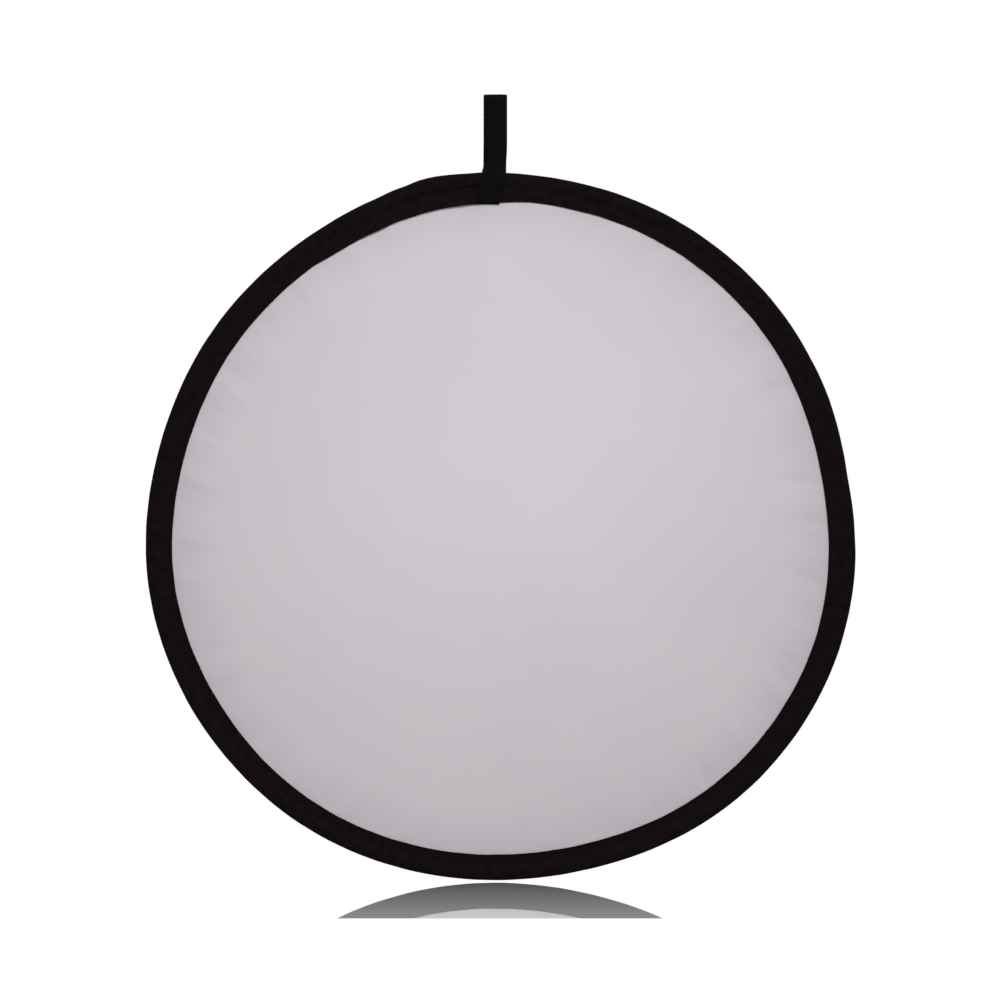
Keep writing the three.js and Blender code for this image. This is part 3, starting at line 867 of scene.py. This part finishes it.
def add_camera():
    data = bpy.data.cameras.new("camera")
    data.sensor_width = SENSOR
    data.lens = SENSOR * VIEW_DISTANCE / VIEW_WIDTH
    camera = bpy.data.objects.new("camera", data)
    camera.location = (CENTRE_X - VIEW_LEFT, -VIEW_DISTANCE, CENTRE_Z + VIEW_UP)
    camera.rotation_euler = (math.radians(90), 0, 0)
    bpy.context.scene.collection.objects.link(camera)
    bpy.context.scene.camera = camera


def add_area_light(name, place, target, width, height, power):
    data = bpy.data.lights.new(name, "AREA")
    data.shape = "RECTANGLE"
    data.size, data.size_y = width, height
    data.energy = power
    light = bpy.data.objects.new(name, data)
    light.location = place
    light.rotation_euler = (Vector(target) - Vector(place)).to_track_quat("-Z", "Y").to_euler()
    bpy.context.scene.collection.objects.link(light)
    return data


def add_world():
    """White where the camera or a reflection looks, softer as light on matt surfaces."""
    world = bpy.data.worlds.new("studio")
    world.use_nodes = True
    nodes = Nodes(world.node_tree)
    background = world.node_tree.nodes["Background"]
    background.inputs["Color"].default_value = (1, 1, 1, 1)
    on_matt = nodes.node("ShaderNodeLightPath").outputs["Is Diffuse Ray"]
    nodes.link(nodes.ranged(on_matt, 1, AMBIENT), background.inputs["Strength"])
    bpy.context.scene.world = world


FLOOR_SIZE = 8.0
FLOOR_GAP = 1.2 * MM           # under the binding's lowest point
POLISH_TO = 0.221              # the polished strip ends this far in front of the disc
POLISH = 0.935                 # where the disc stands
POLISH_FADE = 0.85             # lost in each metre from it
POLISH_ROUGHNESS = 0.015


def floor_material():
    material = bpy.data.materials.new("floor")
    material.use_nodes = True
    nodes = Nodes(material.node_tree)
    nodes.tree.nodes.remove(nodes.tree.nodes["Principled BSDF"])
    on_matt = nodes.node("ShaderNodeLightPath").outputs["Is Diffuse Ray"]
    white = nodes.node("ShaderNodeEmission")
    nodes.link(nodes.ranged(on_matt, 1, AMBIENT), white.inputs["Strength"])
    gloss = nodes.node("ShaderNodeBsdfGlossy")
    gloss.inputs["Color"].default_value = (1, 1, 1, 1)
    gloss.inputs["Roughness"].default_value = POLISH_ROUGHNESS
    split = nodes.node("ShaderNodeSeparateXYZ")
    nodes.link(nodes.node("ShaderNodeTexCoord").outputs["Object"], split.inputs[0])
    y = split.outputs["Y"]
    # The polish fades away from the disc on both sides, and in front the strip has an edge.
    faded = nodes.ranged(nodes.math("ABSOLUTE", y), POLISH, POLISH - POLISH_FADE)
    polish = nodes.math("MULTIPLY", nodes.math("GREATER_THAN", y, -POLISH_TO), faded)
    # Matt surfaces are lit by the white alone.
    share = nodes.math("SUBTRACT", polish, on_matt, use_clamp=True)
    mix = nodes.node("ShaderNodeMixShader")
    for socket, source in zip(mix.inputs, (share, white.outputs[0], gloss.outputs[0])):
        nodes.link(source, socket)
    nodes.link(mix.outputs[0], nodes.tree.nodes["Material Output"].inputs["Surface"])
    return material


def add_floor():
    """A white floor with a polished strip that the disc stands on."""
    mesh = bpy.data.meshes.new("floor")
    half = FLOOR_SIZE / 2
    corners = [(-half, -half, 0), (half, -half, 0), (half, half, 0), (-half, half, 0)]
    mesh.from_pydata(corners, [], [(0, 1, 2, 3)])
    mesh.materials.append(floor_material())
    floor = bpy.data.objects.new("floor", mesh)
    floor.location = (CENTRE_X, 0, FLOOR_Z - FLOOR_GAP)
    bpy.context.scene.collection.objects.link(floor)


AMBIENT = 0.27                 # strength of the white surroundings, as light on matt surfaces
KEY_SPREAD = 56                # degrees


def add_studio():
    add_world()
    add_floor()
    key = add_area_light("key", (0.04, -1.2, 0.65), target=(0.02, 0, -0.53),
                         width=0.5, height=0.4, power=2.48)
    key.spread = math.radians(KEY_SPREAD)
    disc = (CENTRE_X, 0, CENTRE_Z)
    add_area_light("back", (-0.5, 1.8, 0.5), target=disc, width=1.6, height=1.0, power=26)
    add_area_light("side", (1.6, -0.1, 0.3), target=disc, width=0.8, height=0.8, power=6)
    bpy.context.scene.view_settings.view_transform = "Standard"


# ---- Build ---------------------------------------------------------------------------------

add_camera()
add_studio()

steel = metal("spring_steel", (0.16, 0.17, 0.20), (0.33, 0.34, 0.37), 0.4 * MM)
thread_finish = black_thread()

binding = build_binding()
front_panel = build_panel(
    "front_panel", -1, white_fabric(), ("front_panel_upper", "front_panel_lower")
)
back_panel = build_panel(
    "back_panel", 1, silver_fabric(), ("back_panel_upper", "back_panel_lower")
)
seams = [
    build_seam("seam_thread_front", -1, thread_finish,
               ("seam_thread_front_upper", "seam_thread_front_lower")),
    build_seam("seam_thread_back", 1, thread_finish,
               ("seam_thread_back_upper", "seam_thread_back_lower")),
]
band = build_band(steel)
finish_joint()
strap = build_strap()
for face, side, slant in (("front", -1, 1), ("back", 1, BACK_SLANT)):
    for level, surface_y, share in TACK_PLACES:
        build_tack(f"tack_{face}_{level}", side, f"strap_tack_{face}_{level}", thread_finish,
                   surface_y, LEG_SHIFT * share * slant)

for piece in (binding, front_panel, back_panel, band, *seams):
    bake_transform(piece)
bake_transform(strap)
